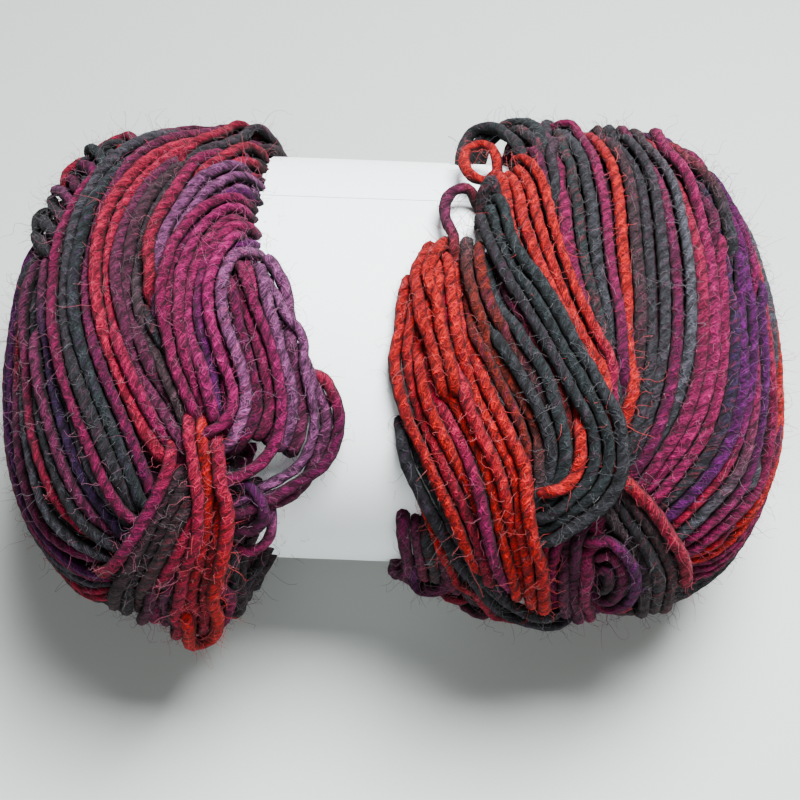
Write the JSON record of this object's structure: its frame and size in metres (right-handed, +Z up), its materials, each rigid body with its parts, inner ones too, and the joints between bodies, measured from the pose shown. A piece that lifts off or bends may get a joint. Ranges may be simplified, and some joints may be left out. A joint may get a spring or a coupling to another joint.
{
  "type": "hank of yarn",
  "caption": "Soft oblong hank of thick wool yarn, two rounded lobes of wound strands pinched at the waist by a plain paper band.",
  "frame": {"origin": "middle of the footprint, on the table", "axes": "+X along the hank, +Y away from the side that faces the viewer, +Z up"},
  "size_m": [0.1744, 0.1164, 0.0881],
  "materials": {
    "yarn": "matte, hairy wool in changing colours: coral, magenta, violet, plum, charcoal and teal grey",
    "paper": "smooth white paper, bare"
  },
  "bodies": {
    "root": {"skein": "yarn", "band": "paper"}
  },
  "joints": []
}
